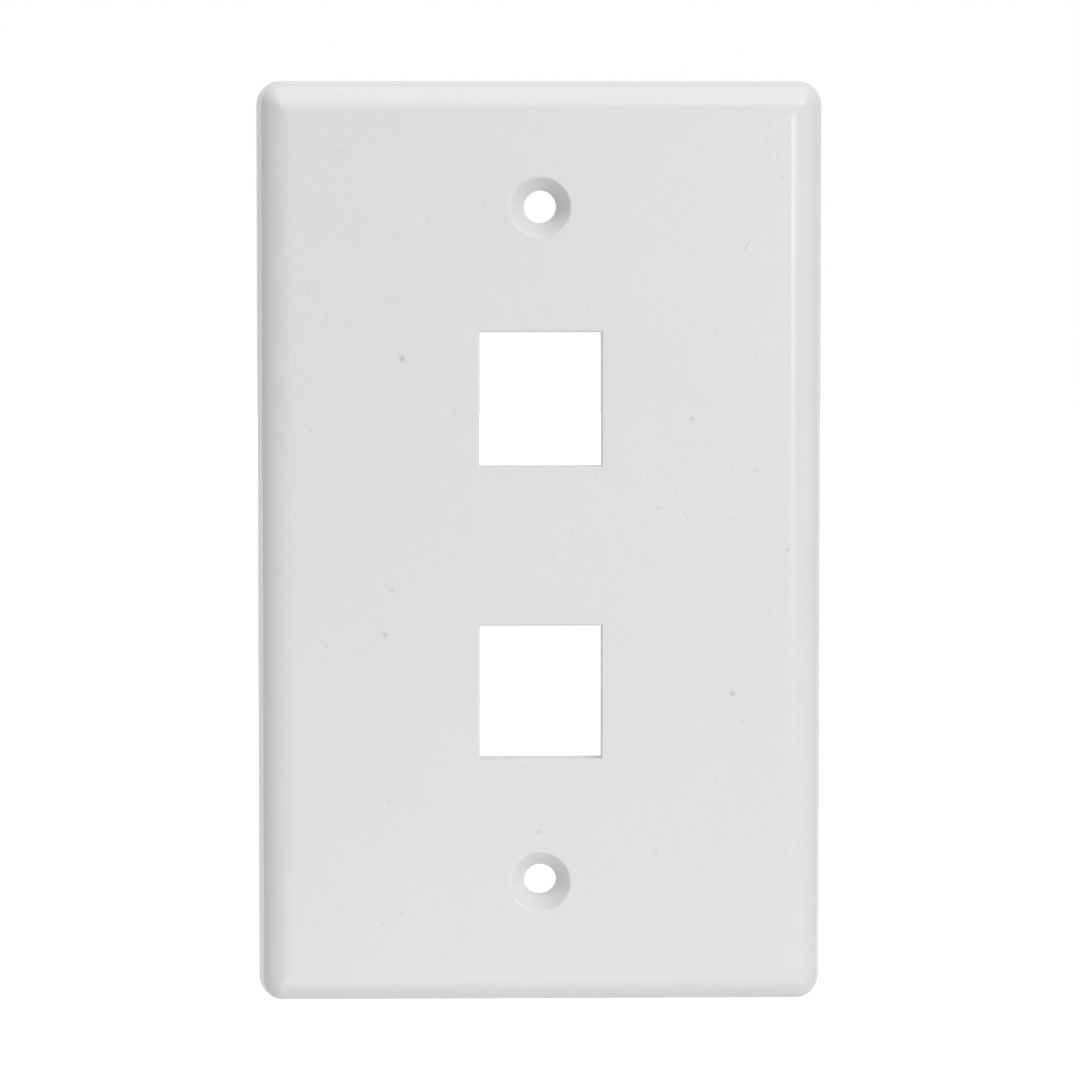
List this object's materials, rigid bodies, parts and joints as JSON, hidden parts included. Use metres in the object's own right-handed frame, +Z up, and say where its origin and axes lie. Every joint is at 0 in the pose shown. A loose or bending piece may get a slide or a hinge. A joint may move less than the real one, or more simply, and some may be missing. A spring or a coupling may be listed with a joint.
{
  "type": "keystone wall faceplate",
  "caption": "Flat rectangular wall plate with a rolled border, square openings for snap-in jacks and countersunk holes for the screws that hold it to a wall box.",
  "frame": {"origin": "centre of the plate on the wall plane, where the rear face of the rim seats", "axes": "+Z up, +Y into the wall, so the front faces -Y, and +X to the right seen from the front"},
  "size_m": [0.0698, 0.01, 0.1142],
  "materials": {
    "white_plastic": "moulded white thermoplastic, satin, with a very fine grain"
  },
  "bodies": {
    "root": {"faceplate": "white_plastic"}
  },
  "joints": []
}
